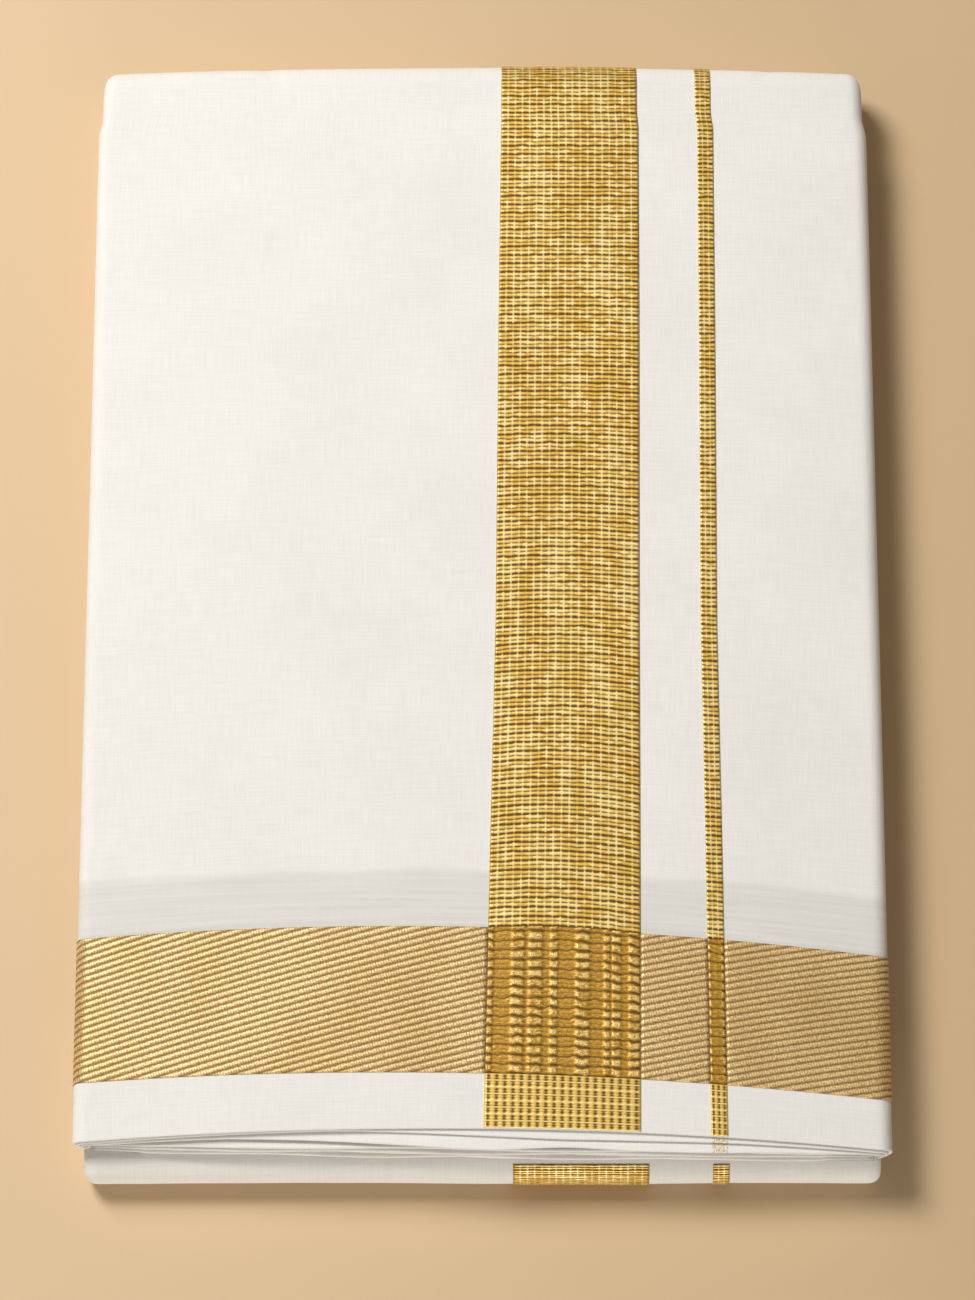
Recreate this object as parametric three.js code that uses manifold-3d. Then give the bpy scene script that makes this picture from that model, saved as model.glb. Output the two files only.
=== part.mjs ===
// A dhoti: one long cotton cloth with gold borders, folded into a flat packet.
//
// The cloth is folded across its width into a long ribbon of layers, and the ribbon is then
// folded twice along its length. Seen from the side the ribbon makes an S: the top arm starts
// with an open end at the front and runs back, the back turn takes it down to the surface,
// the bottom arm runs forward, the front turn takes it up, and the middle arm runs back inside.
// Millimetres, +X right, +Y away from the open end, +Z up, origin under the middle of the packet.

import * as THREE from 'three';
import { mergeVertices } from 'three/addons/utils/BufferGeometryUtils.js';
import Module from 'manifold-3d';

// ---- Driving dimensions -------------------------------------------------------------------

const packet = { halfWidth: 133, halfLength: 198.5, height: 28 };
const wall = { cloth: 1.2, leaf: 1.0, gold: 1.0, gap: 0.3 };

// Each row is one arm of the ribbon: how far it reaches sideways, how wide and how thick its
// rounded side fold is, and how much its middle stands above its sides.
const arms = {
  top: { halfWidth: packet.halfWidth, round: 4.8, thickness: 9.2, crown: 3.0 },
  bottom: { halfWidth: 129.8, round: 3.8, thickness: 7.4, crown: 0 },
};
const tuck = 14;                    // how far a side fold reaches back under its own arm
const crownPower = 2.4;             // a flat middle that falls faster towards the sides

const backTurn = { reach: 13, start: packet.halfLength - 13 };
const frontTurn = { height: 15.4, reach: 7.7, start: -packet.halfLength + 7.7 };
const bottomSeam = 150;             // where the back turn's stretch meets the bottom arm's
const middleArmCut = -140;          // where the front fold's stretch gives way to hidden layers
const openEnd = -185.6;             // the open end's edge, at the middle of the packet

// The weft lines near the open end are not quite straight. Distance along the cloth from its
// edge, and how much further forward the line lies at the left and the right side.
const weftDroop = [
  { along: 0, left: 3.5, right: 6.2 },
  { along: 18.5, left: 2.3, right: 8.0 },
  { along: 67.9, left: 3.0, right: 8.9 },
  { along: 190, left: 1.2, right: 3.4 },
  { along: 330, left: 0, right: 0 },
];

// The gold warp stripes, as their two sides' places across the cloth at each distance along.
const wideBorder = [
  { along: 0, left: 0.4, right: 51.2 },
  { along: 107, left: 2.8, right: 52.0 },
  { along: 175, left: 4.4, right: 52.4 },
  { along: 278, left: 5.4, right: 53.3 },
  { along: 371, left: 6.6, right: 53.8 },
  { along: 460, left: 6.8, right: 54.0 },
];
const narrowStripe = [
  { along: 0, left: 74.0, right: 79.4 },
  { along: 107, left: 73.4, right: 78.8 },
  { along: 175, left: 72.9, right: 78.3 },
  { along: 278, left: 73.7, right: 79.1 },
  { along: 460, left: 74.6, right: 80.0 },
];
const endBand = { near: 18.5, far: 67.9 };       // the gold weft band, along the cloth
const lowerBorder = { left: 10.0, right: 54.3 }; // the same stripes where the front fold shows
const lowerStripe = { left: 75.0, right: 80.4 };

// The leaves whose edges show under the open end: the distance each edge lies in front of the
// top layer's edge at the left, the middle and the right.
const leafLead = [
  { name: 'second_leaf', left: 0.5, middle: 2.3, right: 0.7 },
  { name: 'third_leaf', left: 0.8, middle: 6.4, right: 1.2 },
];
const leafEnd = 168;                // hidden far ends of the leaves

// The layers that fill the open end below the leaves: the share of the height each one takes,
// and how far its edge lies in front of the top layer's edge.
const openEndLayers = [
  { from: 0.02, to: 0.3, left: 0.6, middle: 5.8, right: 0.8 },
  { from: 0.36, to: 0.64, left: 1.2, middle: 6.9, right: 1.4 },
  { from: 0.7, to: 1, left: 0.8, middle: 6.2, right: 1.0 },
];

// ---- Small helpers ------------------------------------------------------------------------

const mix = (a, b, t) => a + (b - a) * t;
const clamp01 = (t) => Math.min(1, Math.max(0, t));
const ease = (t) => clamp01(t) ** 2 * (3 - 2 * clamp01(t));

function steps(from, to, count) {
  return Array.from({ length: count + 1 }, (_, i) => mix(from, to, i / count));
}

// Reads a column of a table by distance along the cloth, with straight lines between its rows.
function readTable(rows, along, column) {
  const next = rows.findIndex((row) => row.along >= along);
  if (next === -1) return rows[rows.length - 1][column];
  if (next === 0) return rows[0][column];
  const [low, high] = [rows[next - 1], rows[next]];
  return mix(low[column], high[column], (along - low.along) / (high.along - low.along));
}

// ---- Where the ribbon runs ----------------------------------------------------------------

// A route gives, for a distance along it, a place (y, z) on the ribbon's outer face, the
// outward direction there, and the arm's shape. Half-ellipse turns are walked by their angle.
function turnPoint(turn, middleZ, halfHeight, angle, forward) {
  const y = turn.start + forward * turn.reach * Math.sin(angle);
  const z = middleZ + halfHeight * Math.cos(angle);
  const normal = [forward * Math.sin(angle) / turn.reach, Math.cos(angle) / halfHeight];
  const size = Math.hypot(...normal);
  return { y, z, ny: normal[0] / size, nz: normal[1] / size };
}

function turnLength(reach, halfHeight) {
  return Math.PI * Math.sqrt((reach ** 2 + halfHeight ** 2) / 2);
}

function blendArm(t, backPinch) {
  const arm = {};
  for (const key of ['halfWidth', 'round', 'thickness', 'crown']) {
    arm[key] = mix(arms.top[key], arms.bottom[key], t);
  }
  arm.halfWidth -= backPinch;
  return arm;
}

// The outer wrap: along the top, round the back turn, and forward under the packet. The packet
// is pinched a little just before the back turn, where the outermost layer is drawn tight.
const wrapTopLength = backTurn.start - openEnd;
const wrapTurnLength = turnLength(backTurn.reach, packet.height / 2);
const wrapLength = wrapTopLength + wrapTurnLength + (backTurn.start - bottomSeam);

function wrapRoute(along) {
  const pinch = 1.3 * ease((along - (wrapTopLength - 16)) / 8);
  if (along <= wrapTopLength) {
    return { y: openEnd + along, z: packet.height, ny: 0, nz: 1, arm: blendArm(0, pinch) };
  }
  const t = (along - wrapTopLength) / wrapTurnLength;
  if (t < 1) {
    const half = packet.height / 2;
    const fade = 1.3 * (1 - ease(t));
    return { ...turnPoint(backTurn, half, half, Math.PI * t, 1), arm: blendArm(ease(t), fade) };
  }
  const past = along - wrapTopLength - wrapTurnLength;
  return { y: backTurn.start - past, z: 0, ny: 0, nz: -1, arm: blendArm(1, 0) };
}

// The lower fold: from the seam forward under the packet, up round the front turn and back.
const foldBottomLength = bottomSeam - wall.gap - frontTurn.start;
const foldTurnLength = turnLength(frontTurn.reach, frontTurn.height / 2);
const foldLength = foldBottomLength + foldTurnLength + (middleArmCut - frontTurn.start);

function foldRoute(along) {
  if (along <= foldBottomLength) {
    return { y: bottomSeam - wall.gap - along, z: 0, ny: 0, nz: -1, arm: arms.bottom };
  }
  const t = (along - foldBottomLength) / foldTurnLength;
  if (t < 1) {
    const half = frontTurn.height / 2;
    return { ...turnPoint(frontTurn, half, half, Math.PI * (1 - t), -1), arm: arms.bottom };
  }
  const past = along - foldBottomLength - foldTurnLength;
  return { y: frontTurn.start + past, z: frontTurn.height, ny: 0, nz: 1, arm: arms.bottom };
}

// ---- The section across an arm ------------------------------------------------------------

// Across runs from -3 to 3: up to 1 is the face, 1 to 2 the rounded side fold, and 2 to 3 the
// tuck back under the arm. Depth is measured inward from the route. Offset moves a point in.
function sectionPoint(arm, across, offset) {
  const side = Math.sign(across) || 1;
  const part = Math.abs(across);
  const flat = arm.halfWidth - arm.round;
  const half = arm.thickness / 2;
  if (part <= 1) {
    const depth = arm.crown * part ** crownPower;
    const slope = (arm.crown * crownPower * part ** (crownPower - 1)) / flat;
    const size = Math.hypot(slope, 1);
    return { x: side * (part * flat - (offset * slope) / size), depth: depth + offset / size };
  }
  if (part <= 2) {
    const angle = Math.PI * (part - 1);
    const normal = [Math.sin(angle) / arm.round, Math.cos(angle) / half];
    const size = Math.hypot(...normal);
    const x = flat + arm.round * Math.sin(angle) - (offset * normal[0]) / size;
    const depth = arm.crown + half * (1 - Math.cos(angle)) + (offset * normal[1]) / size;
    return { x: side * x, depth };
  }
  const x = flat - (part - 2) * tuck;
  return { x: side * x, depth: arm.crown + arm.thickness - offset };
}

function placeOnRoute(route, along, across, offset) {
  const at = route(along);
  const { x, depth } = sectionPoint(at.arm, across, offset);
  return [x, at.y - depth * at.ny, at.z - depth * at.nz];
}

// How far forward a weft line lies at a place across the packet: a parabola through the
// middle and the two sides.
function droopAt(along, across) {
  const part = Math.max(-1, Math.min(1, across));
  const left = readTable(weftDroop, along, 'left');
  const right = readTable(weftDroop, along, 'right');
  return ((right - left) / 2) * part + ((right + left) / 2) * part * part;
}

function wrapPoint(along, across, offset) {
  return placeOnRoute(wrapRoute, along - droopAt(along, across), across, offset);
}

const foldPoint = (along, across, offset) => placeOnRoute(foldRoute, along, across, offset);

// ---- Turning grids into closed solids -----------------------------------------------------

function closedGeometry(points, triangles) {
  const geometry = new THREE.BufferGeometry();
  geometry.setAttribute('position', new THREE.Float32BufferAttribute(points.flat(), 3));
  geometry.setIndex(triangles.flat());
  const merged = mergeVertices(geometry, 1e-4);
  merged.computeVertexNormals();
  return merged;
}

// A wall of cloth: an outer grid of points, the same grid moved in, and a strip round the rim.
// pointAt(row, column, offset) gives a point; rows run along the cloth, columns across it.
function clothWall(rows, columns, outer, inner, pointAt) {
  const points = [];
  for (const offset of [outer, inner]) {
    for (const row of rows) for (const column of columns) points.push(pointAt(row, column, offset));
  }
  const wide = columns.length;
  const layer = rows.length * wide;
  const triangles = [];
  const quad = (a, b, c, d) => triangles.push([a, b, c], [a, c, d]);
  for (let i = 0; i + 1 < rows.length; i += 1) {
    for (let j = 0; j + 1 < wide; j += 1) {
      const a = i * wide + j;
      quad(a, a + 1, a + wide + 1, a + wide);
      quad(layer + a, layer + a + wide, layer + a + wide + 1, layer + a + 1);
    }
  }
  const rim = [];
  for (let j = 0; j < wide; j += 1) rim.push(j);
  for (let i = 1; i < rows.length; i += 1) rim.push(i * wide + wide - 1);
  for (let j = wide - 2; j >= 0; j -= 1) rim.push((rows.length - 1) * wide + j);
  for (let i = rows.length - 2; i > 0; i -= 1) rim.push(i * wide);
  rim.forEach((from, k) => {
    const to = rim[(k + 1) % rim.length];
    quad(from, layer + from, layer + to, to);
  });
  return closedGeometry(points, triangles);
}

// A solid swept through closed rings of points, with a flat fan over each end.
function sweptSolid(rings) {
  const count = rings[0].length;
  const points = rings.flat();
  const triangles = [];
  for (let i = 0; i + 1 < rings.length; i += 1) {
    for (let j = 0; j < count; j += 1) {
      const a = i * count + j;
      const b = i * count + ((j + 1) % count);
      triangles.push([a, b, b + count], [a, b + count, a + count]);
    }
  }
  const last = (rings.length - 1) * count;
  for (const [start, flip] of [[0, true], [last, false]]) {
    const ring = rings[start / count];
    const middle = [0, 1, 2].map((k) => ring.reduce((sum, p) => sum + p[k], 0) / count);
    const centre = points.push(middle) - 1;
    for (let j = 0; j < count; j += 1) {
      const [a, b] = [start + j, start + ((j + 1) % count)];
      triangles.push(flip ? [centre, b, a] : [centre, a, b]);
    }
  }
  return closedGeometry(points, triangles);
}

// ---- Rows and columns shared by all pieces, so that nested walls keep their gap -----------

const faceColumns = [-1, -0.93, -0.82, -0.66, -0.46, -0.24, 0, 0.24, 0.46, 0.66, 0.82, 0.93, 1];
const rightRound = steps(1, 2, 7).slice(1);
const leftRound = rightRound.map((part) => -part).reverse();
const wrapColumns = [-3, ...leftRound, ...faceColumns, ...rightRound, 3];
const leafColumns = wrapColumns.slice(1, -1);

const topRows = [0, 18.5, 67.9, 110, 190, 260, 330, 352, 358, 364, wrapTopLength];
const turnRows = steps(wrapTopLength, wrapTopLength + wrapTurnLength, 12).slice(1);
const wrapRows = [...topRows, ...turnRows, wrapLength];

const foldTurnRows = steps(foldBottomLength, foldBottomLength + foldTurnLength, 9);
const foldColumns = [-3, ...leftRound, -1, -0.5, 0, 0.5, 1, ...rightRound, 3];

// Columns between two places across, given in millimetres on an arm's face.
function columnsBetween(arm, left, right, count) {
  const flat = arm.halfWidth - arm.round;
  return steps(left / flat, right / flat, count);
}

// ---- White stretches of the cloth ---------------------------------------------------------

function outerWrap() {
  return clothWall(wrapRows, wrapColumns, 0, wall.cloth, wrapPoint);
}

function lowerFold() {
  const rows = [0, ...foldTurnRows, foldLength];
  return clothWall(rows, foldColumns, 0, wall.cloth, foldPoint);
}

// A leaf under the outer wrap: the wrap's own section moved in, reaching further forward.
function leaf(lead, order) {
  const outer = wall.cloth + wall.gap + order * (wall.leaf + wall.gap);
  const point = (share, across, offset) => {
    const part = Math.max(-1, Math.min(1, across));
    const side = part < 0 ? lead.left : lead.right;
    const reach = mix(lead.middle, side, part * part);
    const front = -reach - droopAt(0, across);
    const far = leafEnd - openEnd;
    return placeOnRoute(wrapRoute, mix(front, far, share), across, offset);
  };
  return clothWall([0, 0.5, 1], leafColumns, outer, outer + wall.leaf, point);
}

// ---- Gold: made from the points of the cloth below, moved out -----------------------------

const goldIn = -wall.gap;
const goldOut = -wall.gap - wall.gold;
const topFlat = arms.top.halfWidth - arms.top.round;

// A warp stripe between two distances along the wrap, following its own table.
function warpStripe(table, rows, count) {
  const point = (along, share, offset) => {
    const x = mix(readTable(table, along, 'left'), readTable(table, along, 'right'), share);
    return wrapPoint(along, x / topFlat, offset);
  };
  return clothWall(rows, steps(0, 1, count), goldOut, goldIn, point);
}

const besideTable = (table, column, shift) => (along) =>
  (readTable(table, along, column) + shift) / topFlat;

// The band's side stretches run from a stripe out over the side fold.
function bandOverSide(sideColumns, stripeSide) {
  const rows = steps(endBand.near, endBand.far, 3);
  const point = (along, column, offset) => {
    const across = column === 'stripe' ? stripeSide(along) : column;
    return wrapPoint(along, across, offset);
  };
  return clothWall(rows, sideColumns, goldOut, goldIn, point);
}

function bandLeft() {
  const columns = [-1.9, ...leftRound.slice(1), ...faceColumns.filter((c) => c < 0), 'stripe'];
  return bandOverSide(columns, besideTable(wideBorder, 'left', -wall.gap));
}

function bandRight() {
  const outward = faceColumns.filter((c) => c > 0.65);
  const columns = ['stripe', ...outward, ...rightRound.slice(0, -1), 1.9];
  return bandOverSide(columns, besideTable(narrowStripe, 'right', wall.gap));
}

function bandMiddle() {
  const leftAt = besideTable(wideBorder, 'right', wall.gap);
  const rightAt = besideTable(narrowStripe, 'left', -wall.gap);
  const rows = steps(endBand.near, endBand.far, 3);
  const point = (along, share, offset) =>
    wrapPoint(along, mix(leftAt(along), rightAt(along), share), offset);
  return clothWall(rows, steps(0, 1, 2), goldOut, goldIn, point);
}

// The warp stripes keep clear of the floor: they stop before the back turn reaches it.
const stripeEnd = wrapTopLength + wrapTurnLength * 0.86;
const stripeTurnRows = steps(wrapTopLength, stripeEnd, 10).slice(1);
const stripeRows = [endBand.far + wall.gap, ...topRows.slice(3), ...stripeTurnRows];
const crossingRows = steps(endBand.near, endBand.far, 3);
const hemRows = [0, endBand.near - wall.gap];

// The stripes on the front fold: clear of the floor below and of the layers above.
function foldStripe({ left, right }, count) {
  const start = foldBottomLength + foldTurnLength * 0.2;
  const end = foldBottomLength + foldTurnLength * 0.84;
  const rows = steps(start, end, 6);
  const columns = columnsBetween(arms.bottom, left, right, count);
  return clothWall(rows, columns, goldOut, goldIn, foldPoint);
}

// ---- The hidden layers --------------------------------------------------------------------

const insideTop = wall.cloth + 2 * wall.leaf + 3 * wall.gap;   // below the wrap and its leaves
const insideWrap = wall.cloth + wall.gap;
const fillFlat = topFlat - wall.gap;
const tuckTop = packet.height - arms.top.crown - arms.top.thickness + insideWrap;
const foldTop = frontTurn.height + wall.gap;
const blockHalf = 108;               // clear of the tips of all the tucks

// The closed ring round a bundle of layers: a crowned face, rounded sides and a flat underside.
// Fine ridges down its sides are the edges of the layers inside.
function bundleRing(y, faceZ, arm, ridgeCount) {
  const sideSteps = steps(1, 2, ridgeCount ? ridgeCount * 6 : 6).slice(1);
  const right = [...faceColumns.filter((c) => c > 0), ...sideSteps];
  const pointAt = (across) => {
    const part = Math.abs(across);
    const ridge = part > 1 ? 0.35 * (1 - Math.cos(2 * Math.PI * ridgeCount * (part - 1))) : 0;
    const { x, depth } = sectionPoint(arm, across, 0);
    return [x - Math.sign(across) * ridge, y, faceZ - depth];
  };
  const leftSide = right.map((part) => pointAt(-part)).reverse();
  return [...leftSide, pointAt(0), ...right.map(pointAt)];
}

// The filling of the top arm, between its leaves and the wrap's tucks.
function topFilling() {
  const arm = { halfWidth: fillFlat, round: 1.8, crown: arms.top.crown };
  arm.thickness = packet.height - insideTop - arm.crown - tuckTop;
  const ends = [openEnd + 14, leafEnd];
  return sweptSolid(ends.map((y) => bundleRing(y, packet.height - insideTop, arm, 0)));
}

// The middle arm behind the front fold's stretch, its far end rounded inside the back turn.
function middleArm() {
  const ends = [
    { y: middleArmCut + wall.gap, share: 1 },
    { y: 181, share: 1 },
    { y: 184.5, share: 0.84 },
    { y: 186.5, share: 0.5 },
  ];
  return sweptSolid(ends.map(({ y, share }) => {
    const arm = { ...arms.bottom, thickness: arms.bottom.thickness * share };
    const faceZ = frontTurn.height - (arms.bottom.thickness * (1 - share)) / 2;
    return bundleRing(y, faceZ, arm, 4);
  }));
}

// The layers whose folded edges fill the open end, between the leaves and the lower fold.
// Share runs from the leaves above, 0, to the lower fold, 1.
function openEndLayer({ from, to, left, middle, right }) {
  const layerPoint = (row, part, share) => {
    const side = part < 0 ? left : right;
    const front = openEnd - mix(middle, side, part * part) - droopAt(0, part);
    const top = packet.height - insideTop - arms.top.crown * Math.abs(part) ** crownPower;
    const bottom = mix(foldTop, tuckTop, ease((Math.abs(part) - 0.85) / 0.04));
    return [part * fillFlat, mix(front, openEnd + 16, row), mix(top, bottom, share)];
  };
  const columns = [...faceColumns, -0.89, -0.85, 0.85, 0.89].sort((p, q) => p - q);
  return clothWall([0, 1], columns, from, to, layerPoint);
}

// Two blocks of hidden layers between the side folds, which join the others into one solid.
function hiddenBlock(y0, y1, z0, z1) {
  const block = new THREE.BoxGeometry(2 * blockHalf, y1 - y0, z1 - z0);
  return block.translate(0, (y0 + y1) / 2, (z0 + z1) / 2);
}

async function joinSolids(geometries) {
  const wasm = await Module();
  wasm.setup();
  const solids = geometries.map((geometry) => {
    const bare = geometry.clone();
    bare.deleteAttribute('normal');
    bare.deleteAttribute('uv');
    const merged = mergeVertices(bare, 1e-4);
    return new wasm.Manifold(new wasm.Mesh({
      numProp: 3,
      vertProperties: merged.attributes.position.array,
      triVerts: new Uint32Array(merged.index.array),
    }));
  });
  const mesh = solids.reduce((sum, solid) => sum.add(solid)).getMesh();
  const joined = new THREE.BufferGeometry();
  joined.setAttribute('position', new THREE.BufferAttribute(mesh.vertProperties, 3));
  joined.setIndex(new THREE.BufferAttribute(mesh.triVerts, 1));
  joined.computeVertexNormals();
  return joined;
}

function hiddenLayers() {
  const cut = middleArmCut + wall.gap;
  return joinSolids([
    topFilling(),
    middleArm(),
    hiddenBlock(cut, 184, insideWrap, 21),
    hiddenBlock(frontTurn.start, cut + 1, insideWrap, frontTurn.height - insideWrap),
    ...openEndLayers.map(openEndLayer),
  ]);
}

// ---- The scene graph ----------------------------------------------------------------------

const finishes = {
  cotton: { color: '#efeae0', roughness: 0.85, metalness: 0 },
  innerCotton: { color: '#e9e2d6', roughness: 0.88, metalness: 0 },
  zariGrid: { color: '#c79a3c', roughness: 0.42, metalness: 0.55 },
  zariTwill: { color: '#cda767', roughness: 0.46, metalness: 0.45 },
  zariCrossing: { color: '#b3801f', roughness: 0.42, metalness: 0.55 },
};

function piece(name, finish, geometry) {
  const mesh = new THREE.Mesh(geometry, new THREE.MeshStandardMaterial(finishes[finish]));
  mesh.name = name;
  return mesh;
}

const dhoti = new THREE.Group();
dhoti.add(
  piece('outer_wrap', 'cotton', outerWrap()),
  ...leafLead.map((lead, order) => piece(lead.name, 'cotton', leaf(lead, order))),
  piece('lower_fold', 'cotton', lowerFold()),
  piece('hidden_layers', 'innerCotton', await hiddenLayers()),
  piece('wide_border', 'zariGrid', warpStripe(wideBorder, stripeRows, 3)),
  piece('narrow_stripe', 'zariGrid', warpStripe(narrowStripe, stripeRows, 1)),
  piece('border_crossing', 'zariCrossing', warpStripe(wideBorder, crossingRows, 3)),
  piece('stripe_crossing', 'zariCrossing', warpStripe(narrowStripe, crossingRows, 1)),
  piece('border_hem', 'zariGrid', warpStripe(wideBorder, hemRows, 3)),
  piece('stripe_hem', 'zariGrid', warpStripe(narrowStripe, hemRows, 1)),
  piece('end_band_left', 'zariTwill', bandLeft()),
  piece('end_band_middle', 'zariTwill', bandMiddle()),
  piece('end_band_right', 'zariTwill', bandRight()),
  piece('lower_fold_border', 'zariGrid', foldStripe(lowerBorder, 2)),
  piece('lower_fold_stripe', 'zariGrid', foldStripe(lowerStripe, 1)),
);

export default dhoti;
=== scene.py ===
# %% [markdown]
# # A folded dhoti
# A dhoti is one long, fine cotton cloth, worn unsewn. This one is folded into a flat packet.
# Its gold borders are woven in with zari, a thread wrapped in thin gilt strip.
# First the script loads the measured model of the packet. Every new piece is made around it.

# %% Load the frame
import bpy
import numpy as np
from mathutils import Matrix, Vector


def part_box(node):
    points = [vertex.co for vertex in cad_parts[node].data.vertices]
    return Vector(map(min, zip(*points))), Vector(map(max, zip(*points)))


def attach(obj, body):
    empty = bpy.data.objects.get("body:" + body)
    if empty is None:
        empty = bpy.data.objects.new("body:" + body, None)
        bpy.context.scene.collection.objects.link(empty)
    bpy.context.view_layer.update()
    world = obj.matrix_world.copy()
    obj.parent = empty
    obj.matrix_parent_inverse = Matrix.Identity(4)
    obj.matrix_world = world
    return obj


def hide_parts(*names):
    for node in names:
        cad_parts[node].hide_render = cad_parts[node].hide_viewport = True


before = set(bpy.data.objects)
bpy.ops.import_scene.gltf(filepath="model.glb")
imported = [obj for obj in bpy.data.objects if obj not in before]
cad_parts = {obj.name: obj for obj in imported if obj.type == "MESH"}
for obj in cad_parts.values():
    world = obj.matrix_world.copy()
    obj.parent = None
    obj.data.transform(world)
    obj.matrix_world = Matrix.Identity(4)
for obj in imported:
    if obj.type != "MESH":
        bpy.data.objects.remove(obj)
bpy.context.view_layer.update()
MM = 0.001


def node_box(node):
    """A node's lowest and highest corners, in millimetres."""
    return [np.array(corner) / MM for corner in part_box(node)]


wrap_low, wrap_high = node_box("outer_wrap")
fold_low, fold_high = node_box("lower_fold")
print("the outer wrap spans", wrap_low.round(1), wrap_high.round(1))

# %% [markdown]
# ## The camera
# The packet lies flat and is seen from high above its open end, from far away, so its sides
# converge only a little. A long lens does the same. The camera is aimed at a point on the
# surface and moved back along its own line of sight.

# %% Camera
CAMERA_TILT = 70.0          # degrees above the surface
CAMERA_AWAY = 1.862         # metres from the aim point
CAMERA_AIM = (0.0017, -0.011, 0.0)
LENS_PER_HEIGHT = 55 / 13   # the focal length as a multiple of the sensor's height
SENSOR_TALL = 36.0          # millimetres


def add_camera():
    """The camera's place: the aim point plus its distance along the tilted line of sight."""
    data = bpy.data.cameras.new("camera")
    data.sensor_fit = "VERTICAL"
    data.sensor_height = SENSOR_TALL
    data.lens = LENS_PER_HEIGHT * SENSOR_TALL
    data.clip_end = 20
    camera = bpy.data.objects.new("camera", data)
    tilt = np.radians(CAMERA_TILT)
    away = CAMERA_AWAY * np.array([0, -np.cos(tilt), np.sin(tilt)])
    camera.location = np.array(CAMERA_AIM) + away
    camera.rotation_euler = (np.pi / 2 - tilt, 0, 0)
    bpy.context.scene.collection.objects.link(camera)
    bpy.context.scene.camera = camera


add_camera()
print("the lens is", round(bpy.context.scene.camera.data.lens, 1), "mm long")

# %% [markdown]
# ## Shader maths as Python
# Cloth and paint are made by arithmetic on a place: on the UV map for cloth, and on the object's
# own coordinates for the floor. A small class wraps one socket, and each operator on it adds one
# Math node, so a pattern reads as a formula.

# %% Wires and finishes
class Wire:
    """One number in a node tree. Arithmetic on it adds Math nodes."""

    def __init__(self, finish, socket):
        self.finish = finish
        self.socket = socket

    def __add__(self, other):
        return self.finish.math("ADD", self, other)

    def __sub__(self, other):
        return self.finish.math("SUBTRACT", self, other)

    def __rsub__(self, other):
        return self.finish.math("SUBTRACT", other, self)

    def __mul__(self, other):
        return self.finish.math("MULTIPLY", self, other)

    def __truediv__(self, other):
        return self.finish.math("DIVIDE", self, other)

    __radd__ = __add__
    __rmul__ = __mul__

    def other(self, output):
        """Another output of the same node."""
        return Wire(self.finish, self.socket.node.outputs[output])


class Finish:
    """A material and the node tree that makes it."""

    def __init__(self, name):
        self.material = bpy.data.materials.new(name)
        self.material.use_nodes = True
        self.tree = self.material.node_tree
        self.shader = self.tree.nodes["Principled BSDF"]

    def node(self, kind, settings=None, inputs=None, output=0):
        """Adds a node: its settings first, then values or wires into its sockets."""
        made = self.tree.nodes.new(kind)
        for key, value in (settings or {}).items():
            setattr(made, key, value)
        for key, value in (inputs or {}).items():
            self.feed(made.inputs[key], value)
        return Wire(self, made.outputs[output])

    def feed(self, socket, value):
        """Links a wire to a socket, or sets the socket's own value."""
        if isinstance(value, Wire):
            self.tree.links.new(value.socket, socket)
        else:
            socket.default_value = value

    def math(self, operation, *values):
        """One Math node."""
        return self.node("ShaderNodeMath", {"operation": operation}, dict(enumerate(values)))

    def blend(self, share, first, second):
        """A colour from first to second, as share goes from 0 to 1."""
        colours = {0: share, 6: first, 7: second}
        return self.node("ShaderNodeMix", {"data_type": "RGBA"}, colours, output=2)

    def smooth(self, value, low, high):
        """0 below low, 1 above high, and a smooth curve between."""
        inputs = {"Value": value, "From Min": low, "From Max": high}
        settings = {"interpolation_type": "SMOOTHSTEP"}
        return self.node("ShaderNodeMapRange", settings, inputs)

    def place(self):
        """The two numbers of the piece's own UV map."""
        uv = self.node("ShaderNodeUVMap", {"uv_map": "weave"})
        split = self.node("ShaderNodeSeparateXYZ", None, {0: uv})
        return split, split.other(1)

    def point(self, x, y, z=0.0):
        """A vector from three numbers."""
        return self.node("ShaderNodeCombineXYZ", None, {0: x, 1: y, 2: z})

    def noise(self, vector, scale=1.0, detail=2.0):
        """Smooth noise, about 0 to 1."""
        inputs = {"Vector": vector, "Scale": scale, "Detail": detail}
        return self.node("ShaderNodeTexNoise", None, inputs)

    def speck(self, x, y):
        """A random number for each whole-number cell."""
        cell = self.point(self.math("FLOOR", x), self.math("FLOOR", y))
        return self.node("ShaderNodeTexWhiteNoise", {"noise_dimensions": "2D"}, {"Vector": cell})

    def line(self, value, width):
        """1 on whole numbers, fading to 0 at that distance from them."""
        near = self.math("ABSOLUTE", value - self.math("ROUND", value))
        return 1 - self.smooth(near, 0.0, width)

    def bump(self, height, distance, strength=1.0):
        """A normal from a height, with its distance in metres."""
        inputs = {"Height": height, "Distance": distance, "Strength": strength}
        return self.node("ShaderNodeBump", None, inputs)

    def wear(self, colour, roughness, normal, **constants):
        """Feeds the shader and gives the material. Constants go straight on its own sockets."""
        self.feed(self.shader.inputs["Base Color"], colour)
        self.feed(self.shader.inputs["Roughness"], roughness)
        self.feed(self.shader.inputs["Normal"], normal)
        for name, value in constants.items():
            self.shader.inputs[name.replace("_", " ")].default_value = value
        return self.material


# %% [markdown]
# ## The studio
# White cloth needs one broad light from the side, or its low folds vanish. A large soft panel
# stands at the upper left, so shadows fall to the right and towards the open end. A weak wide
# panel in front lights the layered edges, and a pale sky fills the shadows. The plain view
# transform keeps the cloth's white a true white.

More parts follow.
